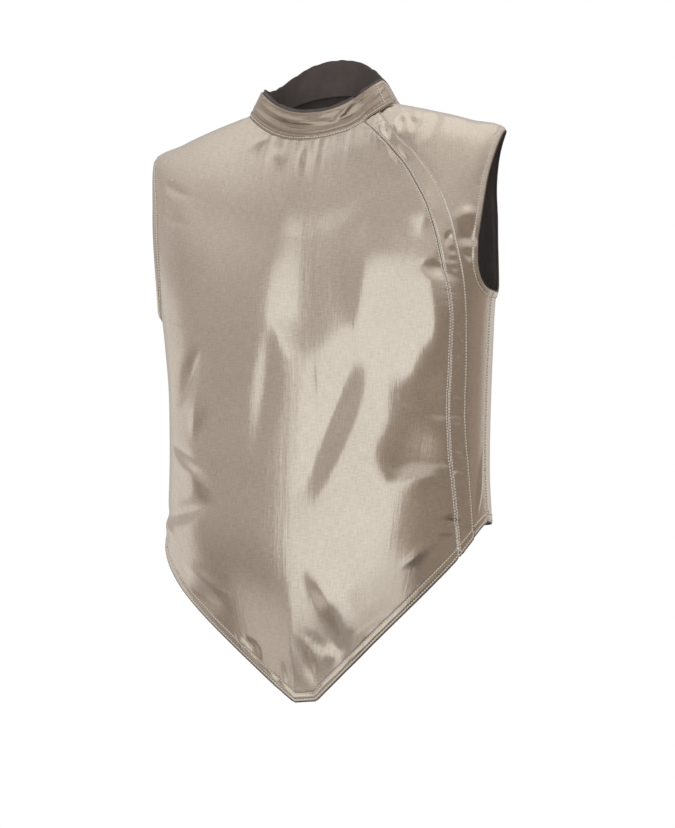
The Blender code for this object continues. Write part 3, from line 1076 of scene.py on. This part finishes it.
def weave_place(tree):
    """Place on the cloth, with its parts across and down, in metres."""
    place = node(tree, "ShaderNodeUVMap", {"uv_map": "Weave"}, ())
    across, down = (node(tree, "ShaderNodeSeparateXYZ", {}, (place,), axis) for axis in "XY")
    return place, across, down


def yarns(way, spacing):
    """Wave over parallel yarns."""
    return (way * (2 * math.pi / spacing)).math("SINE")


def stretched_noise(place, scale, detail, roughness, seed):
    """Noise with its own scale each way, for slubs that lie along a yarn."""
    moved = node(place.tree, "ShaderNodeMapping", {}, {
        "Vector": place, "Location": (seed, seed, 0), "Scale": (*scale, 1)})
    return node(place.tree, "ShaderNodeTexNoise", {"noise_dimensions": "2D"}, {
        "Vector": moved, "Scale": 1.0, "Detail": detail, "Roughness": roughness})


FOIL_YARN, LINING_YARN = 0.62 * MM, 0.5 * MM  # distance between yarns
FOIL_TONES = ((0.25, (0.56, 0.492, 0.404, 1)), (0.5, (0.68, 0.617, 0.527, 1)),
              (0.75, (0.79, 0.735, 0.648, 1)))
LINING_TONES = (0.3, (0.10, 0.082, 0.078, 1)), (0.7, (0.19, 0.16, 0.15, 1))
THREAD_TONES = (0.3, (0.86, 0.81, 0.73, 1)), (0.7, (0.98, 0.95, 0.89, 1))


def make_foil(name, all_over_shade, shade):
    """Plain weave of metallic yarn: satin along the yarns, with slubs, a fine grain and painted
    shade in its grooves.
    """
    made, tree, shader = new_material(name, Metallic=0.86, Anisotropic=0.35,
                                      Anisotropic_Rotation=0.25)
    place, across, down = weave_place(tree)
    weft, warp = yarns(down, FOIL_YARN), yarns(across, FOIL_YARN)
    weft_slub = stretched_noise(place, (110, 1000), 2.0, 0.6, 3.0)
    warp_slub = stretched_noise(place, (1000, 90), 2.0, 0.6, 7.0)
    cloud = stretched_noise(place, (14, 9), 3.0, 0.55, 11.0)
    streak = stretched_noise(place, (125, 16), 2.0, 0.6, 19.0)
    fine_streak = stretched_noise(place, (340, 42), 1.0, 0.5, 23.0)
    grain = weft_slub * 0.5 + warp_slub * 0.5
    # Painted shade: the stitch grooves, and on the collar the whole cloth, are darkened towards the
    # shade colour
    groove_and_shade = node(tree, "ShaderNodeAttribute", {"attribute_name": "Groove"}, (), "Fac")
    darkened = (groove_and_shade * 0.45 + all_over_shade).math("MINIMUM", 0.85)
    colour = mixed(darkened, tones(grain * 0.8 + cloud * 0.2, FOIL_TONES), shade)
    rough = 0.13 + grain * 0.12 + warp * 0.03
    height = (weft * 0.5 + warp * 0.35) * 0.06 + weft_slub * 0.12 + warp_slub * 0.24
    weave = bumped(height, 0.12)
    streaks = bumped(streak + fine_streak * 0.3, 0.24, Normal=weave)
    feed(shader, Base_Color=colour, Roughness=rough, Normal=streaks)
    return made


def make_lining():
    """Matt, dark brown-grey plain weave."""
    made, tree, shader = new_material("lining", Roughness=0.82, Sheen_Weight=0.2)
    place, across, down = weave_place(tree)
    grain = stretched_noise(place, (900, 900), 2.0, 0.6, 2.0)
    cloud = stretched_noise(place, (40, 25), 2.0, 0.5, 5.0)
    height = yarns(across, LINING_YARN) + yarns(down, LINING_YARN) + grain
    feed(shader, Base_Color=tones(grain * 0.6 + cloud * 0.4, LINING_TONES),
         Normal=bumped(height, 0.1))
    return made


def make_thread():
    """Pale polyester thread with a fine twist."""
    made, tree, shader = new_material("thread", Roughness=0.5, Sheen_Weight=0.3)
    place = node(tree, "ShaderNodeTexCoord", {}, (), "Object")
    twist = node(tree, "ShaderNodeTexNoise", {}, {"Vector": place, "Scale": 900.0,
                                                  "Detail": 1.0})
    feed(shader, Base_Color=tones(twist, THREAD_TONES))
    return made


# ---------- pieces

# The last colour of each foil is the painted shade that its grooves are darkened towards
FOIL = make_foil("foil_cloth", 0.0, (0.10, 0.075, 0.055, 1))
# The collar's foil is a darker, browner copy of the same cloth: painted shade over the whole collar
SHADED_COLLAR_FOIL = make_foil("foil_cloth_painted_shade", 0.42, (0.13, 0.06, 0.02, 1))
LINING_CLOTH, PALE_THREAD = make_lining(), make_thread()

BODY_CLOTHS = (FOIL, LINING_CLOTH)

front = body_panel("front_panel", front_edge(-1), closing_line(0, -1), 108, flap_lift, 0,
                   BODY_CLOTHS)
flap = body_panel("closure_flap", closing_line(0, 1), closing_line(1, 0), 2, flap_lift, 0,
                  BODY_CLOTHS)
left_front = body_panel("left_front_panel", closing_line(UNDERLAP, 0), front_edge(1), 16,
                        no_lift, 0, BODY_CLOTHS)
back = body_panel("back_panel", back_edge(1), back_edge(-1), 104, no_lift, 180, BODY_CLOTHS)
collar = make_collar((SHADED_COLLAR_FOIL, LINING_CLOTH))
collar_lining = make_collar_lining((LINING_CLOTH,))
make_edging(LINING_CLOTH)
make_body_stitching(PALE_THREAD)
make_collar_stitching(PALE_THREAD)


# ---------- floor, camera and light

FLOOR_Z, FLOOR_RADIUS = -1.45, 0.62
CAMERA_AZIMUTH, CAMERA_ELEVATION, CAMERA_DISTANCE = 14, -6, 3.2
AIM = Vector((0.0134, 0.0033, -0.3328))
LENS = 125.7
FLOOR_GREY = (0.72, 0.72, 0.72, 1)

# Soft-edged patches of the studio.  Each has its start, end and softness round from the front,
# then its bottom, top and softness, in degrees.
PATCHES = (
    (27, 132, 9, -80, 18, 7),  # brown wall on the right
    (44, 106, 14, -80, 14, 8),  # its darker middle
    (-100, -36, 12, -80, 24, 8),  # dim wall on the left
    (-150, -104, 12, -14, 8.5, 4),  # pale rims far round to the left and right
    (143, 157, 6, -30, 30, 8),
    (-80, 16, 8, 65, 76, 3),  # dimmer strip overhead
    (-76, -40, 4, -34, -18.5, 3),  # glow of the floor on the left
)
WALL_LEVEL, LAMP_LEVEL = 0.57, 1.02
WALL_TONE, PALE_TONE = (1.0, 0.925, 0.89, 1), (1.0, 0.965, 0.945, 1)
BROWN_TONE, LAMP_TONE = (1.0, 0.81, 0.69, 1), (1.0, 1.0, 0.99, 1)


def make_floor():
    deselect()
    bpy.ops.mesh.primitive_circle_add(vertices=96, radius=FLOOR_RADIUS, fill_type="NGON",
                                      location=(0, 0, FLOOR_Z))
    floor = bpy.context.object
    floor.name = "floor"
    made, _, shader = new_material("floor", Base_Color=FLOOR_GREY, Roughness=0.9)
    floor.data.materials.append(made)


def make_camera():
    azimuth, elevation = math.radians(CAMERA_AZIMUTH), math.radians(CAMERA_ELEVATION)
    back_way = Vector((math.sin(azimuth) * math.cos(elevation),
                       -math.cos(azimuth) * math.cos(elevation), math.sin(elevation)))
    camera = bpy.data.objects.new("camera", bpy.data.cameras.new("camera"))
    camera.data.lens = LENS
    camera.location = AIM + back_way * CAMERA_DISTANCE
    camera.rotation_euler = (-back_way).to_track_quat("-Z", "Y").to_euler()
    bpy.context.collection.objects.link(camera)
    bpy.context.scene.camera = camera


def past(value, edge, soft):
    """0 before an edge and 1 past it."""
    return node(value.tree, "ShaderNodeMapRange", {"interpolation_type": "SMOOTHSTEP"},
                {"Value": value - edge, "From Min": -soft, "From Max": soft})


def patch(around, up, start, end, soft, bottom, top, soft_up):
    """1 inside a soft-edged patch of the studio and 0 outside it."""
    across = past(around, start, soft) * (1 - past(around, end, soft))
    return across * past(up, bottom, soft_up) * (1 - past(up, top, soft_up))


def lamp_patch(around, up):
    """The wide soft light in front, which reaches further round near the floor."""
    near_floor = 1 - past(up, -20, 6)
    bottom = past(around, 4, 10) * -6 - 24
    top = past(around, -14, 8) * 3 + 28
    left_edge = past(up, 4, 6) * 3.5 - 34.5
    return patch(around, up, left_edge, 24 + near_floor * 22, 1.5, bottom, top, 3.5)


def make_world():
    """White studio: a wide soft light in front with dim brown sides, and a white backdrop."""
    world = bpy.data.worlds.new("studio")
    bpy.context.scene.world = world
    world.use_nodes = True
    tree = world.node_tree
    way = node(tree, "ShaderNodeTexCoord", {}, (), "Generated")
    x, y, z = (node(tree, "ShaderNodeSeparateXYZ", {}, (way,), axis) for axis in "XYZ")
    around = x.math("ARCTAN2", y * -1) * math.degrees(1) - CAMERA_AZIMUTH
    up = z.math("ARCSINE") * math.degrees(1)
    lamp = lamp_patch(around, up)
    right_side, right_dark, left_side, left_rim, right_rim, overhead, floor_glow = (
        patch(around, up, *limits) for limits in PATCHES)
    lifted, above = past(up, 8, 12), past(up, 40, 22)
    below, lower = 1 - past(up, -24, 7), 1 - past(up, -4, 12)
    aside = past(around.math("ABSOLUTE"), 55, 25)
    level = WALL_LEVEL + above * (0.01 + aside * 0.30 + past(around, 17, 12) * 0.2)
    level = level + left_rim * 0.25 + right_rim * 0.2 + floor_glow * 0.42
    level = level - right_side * (0.17 + lifted * 0.10) - right_dark * 0.09 - overhead * 0.15
    level = level - left_side * (0.05 + lower * 0.18) - below * (0.2 - left_side * 0.1)
    level = level * (1 - lamp) + lamp * LAMP_LEVEL
    pale = (left_rim + above * aside + floor_glow * 0.7).math("MINIMUM", 1.0)
    brown = right_side + left_side * (0.2 + lower * 0.45) + below * 0.2
    brown = (brown * (1 - floor_glow)).math("MINIMUM", 1.0)
    wall = mixed(brown, mixed(pale, WALL_TONE, PALE_TONE), BROWN_TONE)
    lit = node(tree, "ShaderNodeBackground", {}, {
        "Color": mixed(lamp, wall, LAMP_TONE), "Strength": level})
    backdrop = node(tree, "ShaderNodeBackground", {}, {"Color": (1, 1, 1, 1), "Strength": 1.0})
    seen = node(tree, "ShaderNodeLightPath", {}, (), "Is Camera Ray")
    shown = node(tree, "ShaderNodeMixShader", {}, {0: seen, 1: lit, 2: backdrop})
    feed(tree.nodes["World Output"], Surface=shown)


make_floor()
make_camera()
make_world()
bpy.context.scene.view_settings.view_transform = "Standard"
